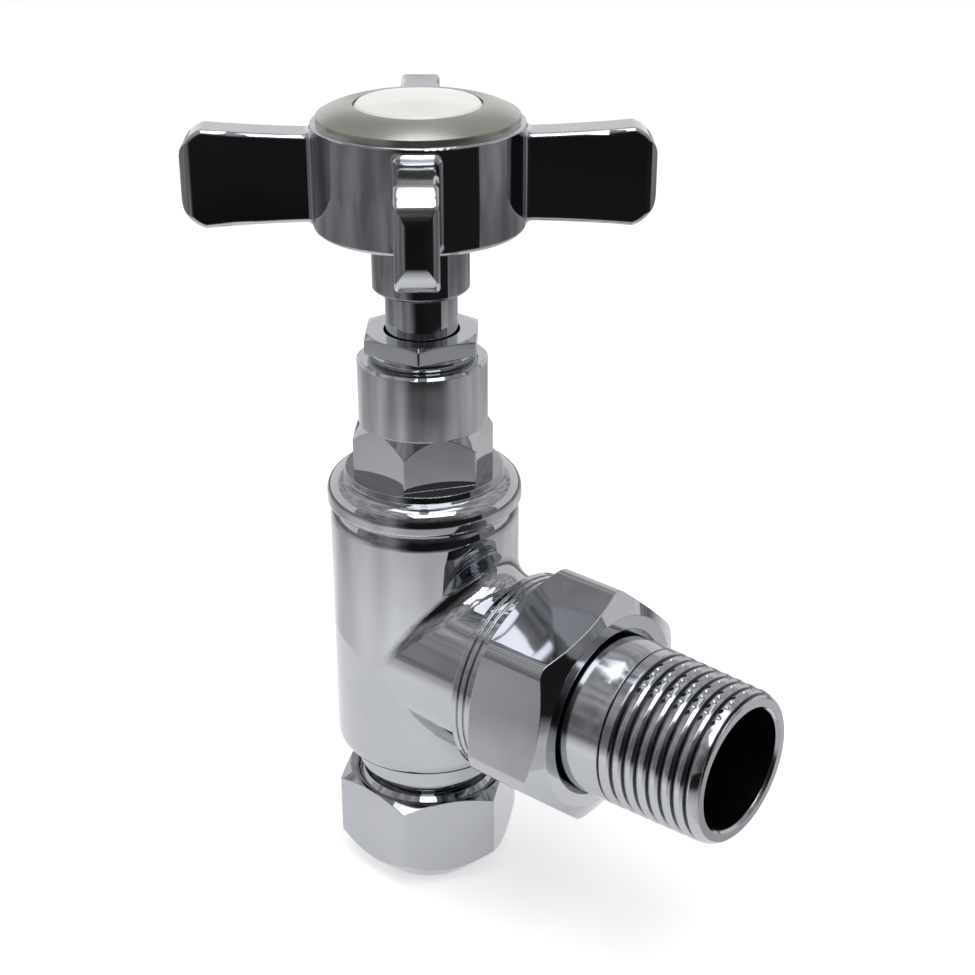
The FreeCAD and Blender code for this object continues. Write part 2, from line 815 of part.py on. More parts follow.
def make_handle_screw():
    seat = cavity_floor + spring_washer_thickness
    screw = slotted_screw(
        handle_screw_radius,
        handle_screw_length,
        handle_screw_head_radius,
        handle_screw_head_height,
        0,
    )
    screw.rotate(Vector(0, 0, 0), Vector(1, 0, 0), 180)
    screw.translate(Vector(0, 0, seat))
    return screw


def make_cap_ring():
    """Domed ring on the hub, with a spigot in the cavity and a ledge for the disc."""
    spigot = hub_cavity_radius - thread_clearance
    inner = spigot - cap_spigot_wall
    recess = disc_radius + slide_clearance
    ledge = recess - cap_ledge_width
    floor = hub_top + cap_floor_lift
    rim_top = hub_top + cap_rim_height
    dome_top = rim_top + cap_dome_rise
    dome_mid = ((cap_radius + recess) / 2, (rim_top + dome_top) / 2 + cap_dome_bulge)
    return turned(
        (inner, hub_top - cap_spigot_length),
        (spigot, hub_top - cap_spigot_length),
        (spigot, hub_top),
        (cap_radius, hub_top),
        (cap_radius, rim_top),
        (recess, dome_top, *dome_mid),
        (recess, floor),
        (ledge, floor),
        (ledge, hub_top - cap_ledge_width),
        (inner, hub_top - cap_ledge_width),
    )


def make_index_disc():
    foot = hub_top + cap_floor_lift
    rim = hub_top + cap_rim_height + cap_dome_rise + disc_proud
    dome_rim = disc_radius - disc_edge
    dome_radius, dome_height = dome_point(dome_rim, disc_dome)
    return turned(
        (0, foot),
        (disc_radius, foot),
        (disc_radius, rim - disc_edge),
        (dome_rim, rim),
        (0, rim + disc_dome, dome_radius, rim + dome_height),
    )


pieces = {
    "valve_body": make_valve_body,
    "compression_nut": make_compression_nut,
    "olive": make_olive,
    "union_nut": make_union_nut,
    "union_washer": make_union_washer,
    "tailpiece": make_tailpiece,
    "bonnet": make_bonnet,
    "bonnet_o_ring": make_bonnet_o_ring,
    "gland_packing": make_gland_packing,
    "gland_washer": make_gland_washer,
    "gland_nut": make_gland_nut,
    "spindle": make_spindle,
    "jumper": make_jumper,
    "jumper_ring": make_jumper_ring,
    "valve_washer": make_valve_washer,
    "washer_screw": make_washer_screw,
    "handle": make_handle,
    "spring_washer": make_spring_washer,
    "handle_screw": make_handle_screw,
    "cap_ring": make_cap_ring,
    "index_disc": make_index_disc,
}

os.makedirs("parts", exist_ok=True)
for name, make in pieces.items():
    solid = make()
    solid.exportStep(os.path.join("parts", name + ".step"))
    print(name, "solids", len(solid.Solids), "valid", solid.isValid(), "volume", round(solid.Volume, 1))
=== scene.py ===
import json
import math

import bpy
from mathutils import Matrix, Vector


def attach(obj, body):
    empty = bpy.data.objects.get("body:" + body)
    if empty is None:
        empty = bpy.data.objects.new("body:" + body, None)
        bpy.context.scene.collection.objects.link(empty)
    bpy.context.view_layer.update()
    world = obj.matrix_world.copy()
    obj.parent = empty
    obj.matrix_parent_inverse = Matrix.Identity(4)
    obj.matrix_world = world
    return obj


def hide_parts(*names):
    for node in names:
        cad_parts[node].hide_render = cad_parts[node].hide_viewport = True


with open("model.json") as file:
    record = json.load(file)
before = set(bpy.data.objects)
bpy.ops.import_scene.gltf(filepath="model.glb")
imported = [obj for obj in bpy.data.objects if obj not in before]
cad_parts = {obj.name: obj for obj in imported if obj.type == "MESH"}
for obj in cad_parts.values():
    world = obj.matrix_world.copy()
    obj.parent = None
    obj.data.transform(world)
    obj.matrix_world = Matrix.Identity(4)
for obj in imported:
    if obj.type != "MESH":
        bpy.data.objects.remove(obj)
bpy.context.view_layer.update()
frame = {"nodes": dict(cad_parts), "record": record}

nodes = frame["nodes"]
mm = 0.001


def toLinear(hexText):  # sRGB hex to the linear values that sockets take
    channels = [int(hexText[i:i + 2], 16) / 255 for i in (1, 3, 5)]
    return [c / 12.92 if c <= 0.04045 else ((c + 0.055) / 1.055) ** 2.4 for c in channels] + [1.0]


def addNode(tree, kind, settings=None, links=None):
    # a setting is an input, by name or index, or else a property of the node
    node = tree.nodes.new(kind)
    for name, value in (settings or {}).items():
        if isinstance(name, int) or name in node.inputs:
            node.inputs[name].default_value = value
        else:
            setattr(node, name, value)
    for name, source in (links or {}).items():
        tree.links.new(source, node.inputs[name])
    return node


def startMaterial(name):
    material = bpy.data.materials.new(name)
    material.use_nodes = True
    tree = material.node_tree
    place = addNode(tree, "ShaderNodeTexCoord").outputs["Object"]
    return material, tree, tree.nodes["Principled BSDF"], place


def dress(tree, shader, look, tonePattern, hazePattern, relief, metallic):
    # drift between two tones, spread of roughness and relief, each from its own pattern
    dark, light = toLinear(look["darkTone"]), toLinear(look["lightTone"])
    tone = addNode(tree, "ShaderNodeMix", {"data_type": "RGBA", 6: dark, 7: light},
                   {0: tonePattern})
    least, most = look.get("hazeSpan", (0.0, 1.0))  # the pattern's values that the roughness spans
    low, high = look["roughness"]
    haze = addNode(tree, "ShaderNodeMapRange",
                   {"From Min": least, "From Max": most, "To Min": low, "To Max": high},
                   {"Value": hazePattern})
    tree.links.new(tone.outputs[2], shader.inputs["Base Color"])
    tree.links.new(haze.outputs["Result"], shader.inputs["Roughness"])
    tree.links.new(relief.outputs["Normal"], shader.inputs["Normal"])
    shader.inputs["Metallic"].default_value = metallic


def perMetre(sizeInMm):  # texture scale for a pattern of that real size
    return 1 / (sizeInMm * mm)


wavePeriod = math.tau / 20  # a Wave texture of scale 1 repeats over this length

# Bright chrome over buffed brass: a cool mirror. The buffing wheel leaves soft hazy patches, and
# the casting under the plate is not quite flat, so long reflections wander a little. The turned
# tail keeps its tool marks, so its mirror is softer.
chromeLook = {
    "darkTone": "#a2a4a9", "lightTone": "#b3b5ba",
    "patchSize": 12.0, "hazeSpan": (0.3, 0.7),
    "waveSize": 7.0, "waveHeight": 0.042,
    "edgeRound": 0.18, "edgeSamples": 6,  # what the buff takes off a sharp edge
    "lineSize": 0.4,  # marks drawn coarser than the real 0.05 mm
}
buffMarks = {
    "roughness": (0.03, 0.075), "lineHeight": 0.0009,
    "lineRun": (0.08, 0.08, 1.0),  # round the spindle
}
toolMarks = {
    "roughness": (0.09, 0.17), "lineHeight": 0.004,
    "lineRun": (1.0, 0.08, 0.08),  # round the outlet
}


def makeChrome(name, marks):
    look = {**chromeLook, **marks}
    material, tree, shader, place = startMaterial(name)
    patch = addNode(tree, "ShaderNodeTexNoise",
                    {"Scale": perMetre(look["patchSize"]), "Detail": 3.0}, {"Vector": place})
    wave = addNode(tree, "ShaderNodeTexNoise",
                   {"Scale": perMetre(look["waveSize"]), "Detail": 1.0}, {"Vector": place})
    edge = addNode(tree, "ShaderNodeBevel",
                   {"samples": look["edgeSamples"], "Radius": look["edgeRound"] * mm})
    swell = addNode(tree, "ShaderNodeBump", {"Distance": look["waveHeight"] * mm},
                    {"Height": wave.outputs["Fac"], "Normal": edge.outputs["Normal"]})
    drawn = addNode(tree, "ShaderNodeMapping", {"Scale": look["lineRun"]}, {"Vector": place})
    lines = addNode(tree, "ShaderNodeTexNoise",
                    {"Scale": perMetre(look["lineSize"]), "Detail": 2.0},
                    {"Vector": drawn.outputs["Vector"]})
    marked = addNode(tree, "ShaderNodeBump", {"Distance": look["lineHeight"] * mm},
                     {"Height": lines.outputs["Fac"], "Normal": swell.outputs["Normal"]})
    haze = patch.outputs["Fac"]
    dress(tree, shader, look, haze, haze, marked, metallic=1.0)
    return material


# Turned chrome left satin on the cap ring: fine rings from the tool spread the highlight into a
# soft fan, and the thin plate lets a little warmth through.
satinLook = {
    "darkTone": "#979690", "lightTone": "#b1b0aa",
    "ringStep": 0.3, "ringHeight": 0.003,  # tool rings, drawn coarser than the real 0.08 mm
    "patchSize": 6.0, "roughness": (0.26, 0.36), "hazeSpan": (0.3, 0.7),
    "fan": 0.6, "fanTurn": 0.25,  # stretch of the highlight, a quarter turn from the rings
}


def makeSatinChrome(look):
    material, tree, shader, place = startMaterial("satinTurnedChrome")
    rings = addNode(tree, "ShaderNodeTexWave",
                    {"wave_type": "RINGS", "rings_direction": "Z",
                     "Scale": perMetre(look["ringStep"]) * wavePeriod,
                     "Distortion": 0.6, "Detail": 2.0, "Detail Scale": 2.0},
                    {"Vector": place}).outputs["Fac"]
    patch = addNode(tree, "ShaderNodeTexNoise",
                    {"Scale": perMetre(look["patchSize"]), "Detail": 3.0},
                    {"Vector": place}).outputs["Fac"]
    grooves = addNode(tree, "ShaderNodeBump", {"Distance": look["ringHeight"] * mm},
                      {"Height": rings})
    dress(tree, shader, look, rings, patch, grooves, metallic=1.0)
    roundWay = addNode(tree, "ShaderNodeTangent", {"direction_type": "RADIAL", "axis": "Z"})
    tree.links.new(roundWay.outputs["Tangent"], shader.inputs["Tangent"])
    shader.inputs["Anisotropic"].default_value = look["fan"]
    shader.inputs["Anisotropic Rotation"].default_value = look["fanTurn"]
    return material


# White glazed porcelain: a dense white body under a thick clear glaze that lies a little uneven.
ceramicLook = {
    "darkTone": "#e3e3df", "lightTone": "#ededea", "glazeIor": 1.52,
    "mottleSize": 3.0, "swellSize": 4.5, "swellHeight": 0.006, "roughness": (0.10, 0.16),
}


def makeGlazedCeramic(look):
    material, tree, shader, place = startMaterial("whiteGlazedCeramic")
    mottle = addNode(tree, "ShaderNodeTexNoise",
                     {"Scale": perMetre(look["mottleSize"]), "Detail": 4.0},
                     {"Vector": place}).outputs["Fac"]
    swell = addNode(tree, "ShaderNodeTexNoise", {"Scale": perMetre(look["swellSize"])},
                    {"Vector": place}).outputs["Fac"]
    glaze = addNode(tree, "ShaderNodeBump", {"Distance": look["swellHeight"] * mm},
                    {"Height": swell})
    dress(tree, shader, look, mottle, mottle, glaze, metallic=0.0)
    shader.inputs["IOR"].default_value = look["glazeIor"]
    return material


# Free-cutting brass straight from the lathe: yellow, with the tool's rings and a slight tarnish.
brassLook = {
    "darkTone": "#a8873f", "lightTone": "#c9a85c",
    "ringStep": 0.3, "ringHeight": 0.004, "tarnishSize": 5.0, "roughness": (0.22, 0.38),
}


def makeTurnedBrass(look):
    material, tree, shader, place = startMaterial("turnedBrass")
    rings = addNode(tree, "ShaderNodeTexWave",
                    {"wave_type": "BANDS", "bands_direction": "Z",
                     "Scale": perMetre(look["ringStep"]) * wavePeriod,
                     "Distortion": 0.4, "Detail": 1.0}, {"Vector": place}).outputs["Fac"]
    tarnish = addNode(tree, "ShaderNodeTexNoise",
                      {"Scale": perMetre(look["tarnishSize"]), "Detail": 4.0},
                      {"Vector": place}).outputs["Fac"]
    grooves = addNode(tree, "ShaderNodeBump", {"Distance": look["ringHeight"] * mm},
                      {"Height": rings})
    dress(tree, shader, look, tarnish, tarnish, grooves, metallic=1.0)
    return material


# Moulded nitrile rubber: near black, dull, with a fine pebbled skin.
rubberLook = {
    "darkTone": "#151516", "lightTone": "#232324",
    "pebbleSize": 0.35, "pebbleHeight": 0.012, "roughness": (0.55, 0.75),
}


def makeNitrileRubber(look):
    material, tree, shader, place = startMaterial("nitrileRubber")
    pebble = addNode(tree, "ShaderNodeTexNoise",
                     {"Scale": perMetre(look["pebbleSize"]), "Detail": 3.0},
                     {"Vector": place}).outputs["Fac"]
    skin = addNode(tree, "ShaderNodeBump", {"Distance": look["pebbleHeight"] * mm},
                   {"Height": pebble})
    dress(tree, shader, look, pebble, pebble, skin, metallic=0.0)
    return material


# Vulcanised fibre stamped from red sheet: matt, with short pale fibres in the surface.
fibreLook = {
    "darkTone": "#6d2417", "lightTone": "#9a4630",
    "fibreSize": 0.6, "fibreStretch": (1.0, 0.25, 1.0), "fibreHeight": 0.02,
    "roughness": (0.7, 0.9),
}


def makeVulcanisedFibre(look):
    material, tree, shader, place = startMaterial("vulcanisedFibre")
    stretch = addNode(tree, "ShaderNodeMapping", {"Scale": look["fibreStretch"]}, {"Vector": place})
    fibres = addNode(tree, "ShaderNodeTexNoise",
                     {"Scale": perMetre(look["fibreSize"]), "Detail": 5.0},
                     {"Vector": stretch.outputs["Vector"]}).outputs["Fac"]
    nap = addNode(tree, "ShaderNodeBump", {"Distance": look["fibreHeight"] * mm},
                  {"Height": fibres})
    dress(tree, shader, look, fibres, fibres, nap, metallic=0.0)
    return material


# Waxed packing cord wound round the spindle: pale strands laid slantwise, greasy rather than dry.
packingLook = {
    "darkTone": "#b6b2a4", "lightTone": "#d8d5ca",
    "strandStep": 0.8, "strandSlant": (0.6, 0.0, 0.5), "strandHeight": 0.08,
    "roughness": (0.45, 0.65),
}


def makePackingCord(look):
    material, tree, shader, place = startMaterial("waxedPackingCord")
    slant = addNode(tree, "ShaderNodeMapping", {"Rotation": look["strandSlant"]}, {"Vector": place})
    strands = addNode(tree, "ShaderNodeTexWave",
                      {"wave_type": "BANDS", "bands_direction": "Z",
                       "Scale": perMetre(look["strandStep"]) * wavePeriod,
                       "Distortion": 1.5, "Detail": 2.0},
                      {"Vector": slant.outputs["Vector"]}).outputs["Fac"]
    relief = addNode(tree, "ShaderNodeBump", {"Distance": look["strandHeight"] * mm},
                     {"Height": strands})
    dress(tree, shader, look, strands, strands, relief, metallic=0.0)
    return material


# Zinc-plated steel: bright bluish grey with the small grain of the plating.
steelLook = {
    "darkTone": "#8f9296", "lightTone": "#b0b3b7",
    "grainSize": 0.8, "grainHeight": 0.004, "roughness": (0.24, 0.4),
}


def makeBrightSteel(look):
    material, tree, shader, place = startMaterial("zincPlatedSteel")
    grain = addNode(tree, "ShaderNodeTexNoise",
                    {"Scale": perMetre(look["grainSize"]), "Detail": 4.0},
                    {"Vector": place}).outputs["Fac"]
    texture = addNode(tree, "ShaderNodeBump", {"Distance": look["grainHeight"] * mm},
                      {"Height": grain})
    dress(tree, shader, look, grain, grain, texture, metallic=1.0)
    return material


# Thread roots: plating hardly reaches down there, so the cut metal stays dull and a little rough;
# its darker tone is partly that and partly painted shade in the roots and in the nicks with this
# finish.
rootDullAndShadeLook = {
    "darkTone": "#77787c", "lightTone": "#94959a",
    "patchSize": 1.2, "roughness": (0.16, 0.3), "grainSize": 0.25, "grainHeight": 0.006,
}


def makeDullShadedRoot(look):
    material, tree, shader, place = startMaterial("dullRootPaintedShade")
    patch = addNode(tree, "ShaderNodeTexNoise",
                    {"Scale": perMetre(look["patchSize"]), "Detail": 3.0},
                    {"Vector": place}).outputs["Fac"]
    grain = addNode(tree, "ShaderNodeTexNoise",
                    {"Scale": perMetre(look["grainSize"]), "Detail": 2.0},
                    {"Vector": place}).outputs["Fac"]
    texture = addNode(tree, "ShaderNodeBump", {"Distance": look["grainHeight"] * mm},
                      {"Height": grain})
    dress(tree, shader, look, patch, patch, texture, metallic=1.0)
    return material


finishes = {
    "polished_chrome": makeChrome("polishedChrome", buffMarks),
    "satin_chrome": makeSatinChrome(satinLook),
    "white_ceramic": makeGlazedCeramic(ceramicLook),
    "raw_brass": makeTurnedBrass(brassLook),
    "black_rubber": makeNitrileRubber(rubberLook),
    "fibre": makeVulcanisedFibre(fibreLook),
    "packing_cord": makePackingCord(packingLook),
    "bright_steel": makeBrightSteel(steelLook),
}
slotOfNode = {part["node"]: part["material_slot"] for part in frame["record"]["subparts"]}
for name, node in nodes.items():
    node.data.materials.clear()
    node.data.materials.append(finishes[slotOfNode[name]])
print("materials:", len(finishes), "finishes on", len(nodes), "solids")

# Threaded tail: the solid's outline with its taper, the pipe thread cut in, and the gripping nicks
tailShape = {
    "height": 36.0,  # of the outlet axis
    "outline": [  # (along the outlet, radius)
        (28.0, 8.05), (28.0, 11.9), (28.2, 12.1), (29.5, 12.1), (29.7, 11.9), (29.7, 10.7),
        (36.0, 10.7), (36.3, 10.62), (51.55, 10.16), (52.55, 9.75), (52.8, 9.45),
        (52.8, 8.4), (52.45, 8.05),
    ],
    "segments": 144, "mergeWithin": 0.002, "smoothAngle": 28.0,
    "pitch": 1.814, "taper": 1 / 32, "crestAtEnd": 10.16, "threadEnd": 51.55,
    "grooves": [(0.34, 0.84, 0), (0.82, 0.36, 1)],  # depth, half width, finish: flanks, then root
    "overcut": 0.12,  # how far the cutter's widest line stands above the crest
    "grooveFrom": 54.2, "turns": 9.4, "stepsPerTurn": 96,
    "runOutFrom": 39.4, "runOutRise": 0.36,  # last turns climb out of the metal
    "firstNick": 2, "nicksInRow": 7,  # in turns of the thread, from the free end
    # the nicks take the root finish, so they carry its painted shade too
    "pits": {  # nicks of the gripping tool, on the crests' edges: rows in degrees from the top
        "rows": [30.0, 19.0, 3.0, -31.0], "shift": 0.27,
        "size": (0.34, 0.38, 0.95), "lift": 0.0, "finish": 1,
    },
    "dents": {  # shallow bruises on the crests between the nicks
        "rows": [24.5, 14.0, 8.5, -7.0, -19.0], "shift": 0.5,
        "size": (0.46, 0.42, 0.4), "lift": 0.18, "finish": 0,
    },
}
tailFinishes = [makeChrome("machinedChrome", toolMarks), makeDullShadedRoot(rootDullAndShadeLook)]


def pick(things):  # selects these and no others, the first of them active
    bpy.ops.object.select_all(action="DESELECT")
    for thing in things:
        thing.select_set(True)
    bpy.context.view_layer.objects.active = things[0]


def giveFinish(piece, finish):  # a cut leaves its cutter's finish on the walls
    for material in tailFinishes:
        piece.data.materials.append(material)
    for face in piece.data.polygons:
        face.material_index = finish


def turnAlongOutlet(name, shape):
    # a ring of points pulled along the outline, station by station, and closed on itself
    height = shape["height"] * mm
    firstX, firstRadius = shape["outline"][0]
    bpy.ops.mesh.primitive_circle_add(
        vertices=shape["segments"], radius=firstRadius * mm,
        location=(firstX * mm, 0, height), rotation=(0, math.pi / 2, 0))
    piece = bpy.context.object
    piece.name = name
    bpy.ops.object.transform_apply(location=True, rotation=True, scale=True)
    bpy.ops.object.mode_set(mode="EDIT")
    bpy.ops.mesh.select_all(action="SELECT")
    lastX, lastRadius = firstX, firstRadius
    for x, radius in shape["outline"][1:] + [(firstX, firstRadius)]:
        bpy.ops.mesh.extrude_edges_move(TRANSFORM_OT_translate={"value": ((x - lastX) * mm, 0, 0)})
        grow = radius / lastRadius
        bpy.ops.transform.resize(value=(1, grow, grow), center_override=(x * mm, 0, height))
        lastX, lastRadius = x, radius
    bpy.ops.mesh.select_all(action="SELECT")
    bpy.ops.mesh.remove_doubles(threshold=shape["mergeWithin"] * mm)
    bpy.ops.mesh.normals_make_consistent(inside=False)
    bpy.ops.object.mode_set(mode="OBJECT")
    giveFinish(piece, 0)
    return piece


def makeGrooveCutter(shape, depth, halfWidth, finish):
    # a diamond swept round the axis by the Screw modifier, right-handed, then drawn in to the taper
    bpy.ops.mesh.primitive_circle_add(vertices=4, radius=mm, rotation=(math.pi / 2, 0, 0))
    cutter = bpy.context.object
    cutter.name = "grooveCutter"
    bpy.ops.object.transform_apply(rotation=True)
    bpy.ops.object.mode_set(mode="EDIT")
    bpy.ops.mesh.select_all(action="SELECT")
    bpy.ops.transform.resize(value=(halfWidth, 1, depth + shape["overcut"]))
    bpy.ops.transform.translate(value=(0, 0, (shape["crestAtEnd"] + shape["overcut"]) * mm))
    bpy.ops.object.mode_set(mode="OBJECT")
    screw = cutter.modifiers.new("thread", "SCREW")
    screw.axis = "X"
    screw.angle = -math.tau * shape["turns"]
    screw.screw_offset = -shape["pitch"] * shape["turns"] * mm
    screw.steps = screw.render_steps = int(shape["stepsPerTurn"] * shape["turns"])
    bpy.ops.object.modifier_apply(modifier="thread")
    for vertex in cutter.data.vertices:  # taper and run-out, which the modifier can't give
        x = vertex.co.x + shape["grooveFrom"] * mm
        inward = shape["threadEnd"] * mm - x
        climb = max(0.0, shape["runOutFrom"] * mm - x) * shape["runOutRise"]
        radius = math.hypot(vertex.co.y, vertex.co.z)
        grow = (radius + inward * shape["taper"] + climb) / radius
        vertex.co = (x, vertex.co.y * grow, vertex.co.z * grow + shape["height"] * mm)
    bpy.ops.object.mode_set(mode="EDIT")
    bpy.ops.mesh.select_all(action="SELECT")
    bpy.ops.mesh.fill_holes(sides=4)
    bpy.ops.mesh.select_all(action="SELECT")
    bpy.ops.mesh.normals_make_consistent(inside=False)
    bpy.ops.object.mode_set(mode="OBJECT")
    giveFinish(cutter, finish)
    return cutter


def makeNickCutter(shape, nicks):
    # one rounded punch, copied along each row, a copy to each turn of the thread
    bpy.ops.mesh.primitive_ico_sphere_add(subdivisions=2, radius=mm)
    punch = bpy.context.object
    punch.scale = nicks["size"]
    bpy.ops.object.transform_apply(scale=True)
    giveFinish(punch, nicks["finish"])
    copies = []
    for angle in nicks["rows"]:
        lean = math.radians(angle)
        for turn in range(shape["firstNick"], shape["firstNick"] + shape["nicksInRow"]):
            x = shape["grooveFrom"] + (angle / 360 - turn + nicks["shift"]) * shape["pitch"]
            crest = shape["crestAtEnd"] + (shape["threadEnd"] - x) * shape["taper"]
            radius = (crest + nicks["lift"]) * mm
            pick([punch])
            bpy.ops.object.duplicate()
            copy = bpy.context.object
            copy.rotation_euler = (lean, 0, 0)
            copy.location = (x * mm, -radius * math.sin(lean),
                             shape["height"] * mm + radius * math.cos(lean))
            copies.append(copy)
    bpy.data.objects.remove(punch)
    pick(copies)
    bpy.ops.object.join()
    bpy.ops.object.transform_apply(location=True, rotation=True, scale=True)
    return bpy.context.object


def cutWith(piece, cutter):
    pick([piece])
    cut = piece.modifiers.new("cut", "BOOLEAN")
    cut.operation = "DIFFERENCE"
    cut.solver = "MANIFOLD"
    cut.object = cutter
    bpy.ops.object.modifier_apply(modifier="cut")
    bpy.data.objects.remove(cutter)


threadedTail = turnAlongOutlet("threadedTail", tailShape)
for depth, halfWidth, finish in tailShape["grooves"]:
    cutWith(threadedTail, makeGrooveCutter(tailShape, depth, halfWidth, finish))
for nicks in (tailShape["pits"], tailShape["dents"]):
    cutWith(threadedTail, makeNickCutter(tailShape, nicks))
bpy.ops.object.shade_smooth_by_angle(angle=math.radians(tailShape["smoothAngle"]))
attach(threadedTail, "fixed_valve")
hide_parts("tailpiece")
print("threaded tail:", len(threadedTail.data.polygons), "faces")

# Stage: a pale floor under two soft boxes in a white room
white = (1.0, 1.0, 1.0, 1.0)
stageSetup = {
    "floorSize": 40.0,
    "paperTones": ("#e2e2e2", "#eaeaea"), "paperGrain": 1.5, "paperRoughness": 0.9,
    "floorGlow": (0.52, 0.66), "glowFade": (0.4, 1.6),  # the far floor meets the white, in metres
    "worldGlow": 1.0, "worldFill": 0.45,
    "lamps": {  # place, aim height, width, depth and power of each soft box
        "overheadBox": ((0.0, 0.0, 0.75), 0.06, 0.46, 0.46, 1.1),
        "frontBox": ((0.26, -0.17, 0.60), 0.07, 0.46, 0.24, 1.5),
    },
}


def seenDirectly(tree):  # 1 for rays from the camera, a mirror or a clear piece
    rays = addNode(tree, "ShaderNodeLightPath").outputs
    seen = addNode(tree, "ShaderNodeMath", {"operation": "MAXIMUM"},
                   {0: rays["Is Camera Ray"], 1: rays["Is Glossy Ray"]}).outputs[0]
    return addNode(tree, "ShaderNodeMath", {"operation": "MAXIMUM"},
                   {0: seen, 1: rays["Is Transmission Ray"]}).outputs[0]


def makeFloor():
    bpy.ops.mesh.primitive_plane_add(size=stageSetup["floorSize"])
    floor = bpy.context.object
    floor.name = "studioFloor"
    material, tree, shader, place = startMaterial("paleStudioPaper")
    grain = addNode(tree, "ShaderNodeTexNoise",
                    {"Scale": perMetre(stageSetup["paperGrain"]), "Detail": 3.0}, {"Vector": place})
    dark, light = [toLinear(tone) for tone in stageSetup["paperTones"]]
    paper = addNode(tree, "ShaderNodeMix", {"data_type": "RGBA", 6: dark, 7: light},
                    {0: grain.outputs["Fac"]})
    tree.links.new(paper.outputs[2], shader.inputs["Base Color"])
    shader.inputs["Roughness"].default_value = stageSetup["paperRoughness"]
    far = addNode(tree, "ShaderNodeVectorMath", {"operation": "LENGTH"}, {0: place})
    (near, away), (low, high) = stageSetup["glowFade"], stageSetup["floorGlow"]
    pale = addNode(tree, "ShaderNodeMapRange",
                   {"From Min": near, "From Max": away, "To Min": low, "To Max": high},
                   {"Value": far.outputs["Value"]})
    glow = addNode(tree, "ShaderNodeMath", {"operation": "MULTIPLY"},
                   {0: seenDirectly(tree), 1: pale.outputs["Result"]})
    shader.inputs["Emission Color"].default_value = white
    tree.links.new(glow.outputs[0], shader.inputs["Emission Strength"])
    floor.data.materials.append(material)


def makeWorld():
    world = bpy.data.worlds.new("whiteStudio")
    bpy.context.scene.world = world
    world.use_nodes = True
    tree = world.node_tree
    level = addNode(tree, "ShaderNodeMapRange",
                    {"To Min": stageSetup["worldFill"], "To Max": stageSetup["worldGlow"]},
                    {"Value": seenDirectly(tree)})
    background = tree.nodes["Background"]
    background.inputs["Color"].default_value = white
    tree.links.new(level.outputs["Result"], background.inputs["Strength"])


def standFacing(thing, place, target):
    thing.location = place
    towards = Vector(target) - Vector(place)
    thing.rotation_euler = towards.to_track_quat("-Z", "Y").to_euler()
    bpy.context.scene.collection.objects.link(thing)


def makeSoftBox(name, place, aimHeight, width, depth, power):
    lamp = bpy.data.lights.new(name, "AREA")
    lamp.shape = "RECTANGLE"
    lamp.size = width
    lamp.size_y = depth
    lamp.energy = power
    standFacing(bpy.data.objects.new(name, lamp), place, (0, 0, aimHeight))


# Flags: glowing grey sheets round the valve and a black card before the tail, which only the chrome
# shows: painted reflections, black in front, grey round about and overhead
flagSetup = {
    "heading": -40.0,  # degrees about Z, the way the dark front faces
    "nearFade": (0.085, 0.27), "sideTone": 0.30,  # metres from the valve, the grey reached there
    "frontFade": (0.075, 0.20), "frontTone": 0.015,
    "frontHalf": (20.0, 50.0),  # degrees either side: black within the first, grey past the second
    "roofClimb": (0.15, 0.75),  # heights over which the sheets lighten
    "roofTone": 0.6, "frontRoof": 0.3,
    "blotchSize": 0.16,  # metres
    "blotchSpan": (0.35, 0.65), "blotchTone": (0.6, 1.35),  # spread about the greys above
    "steps": 48,
    "sheets": {  # (radius, height) line of each sheet, how far round it goes, and its own heading
        "floorFlag": ([(0.07, 0.0006), (0.30, 0.0006), (0.9, 0.0006)], 360.0, -47.0),
        "wallFlag": ([(0.62, 0.0), (0.62, 0.75)], 170.0, -47.0),
        "ceilingFlag": ([(0.24, 0.755), (1.6, 0.755)], 360.0, -47.0),
    },
    # painted shade: a black card on the floor, seen only in the chrome, blackening the union nut's
    # ring
    "card": ([(0.213, 0.0012), (0.6, 0.0012), (0.6, 0.16)], 44.0, -4.0), "cardTone": 0.02,
}


# the sheets glow with set greys and light nothing: what the chrome shows of them is painted
# reflection
def startPaint(name):  # gives off its own grey, so that no lamp changes it
    material = bpy.data.materials.new(name)
    material.use_nodes = True
    tree = material.node_tree
    tree.nodes.remove(tree.nodes["Principled BSDF"])
    paint = addNode(tree, "ShaderNodeEmission")
    tree.links.new(paint.outputs["Emission"], tree.nodes["Material Output"].inputs["Surface"])
    return material, paint


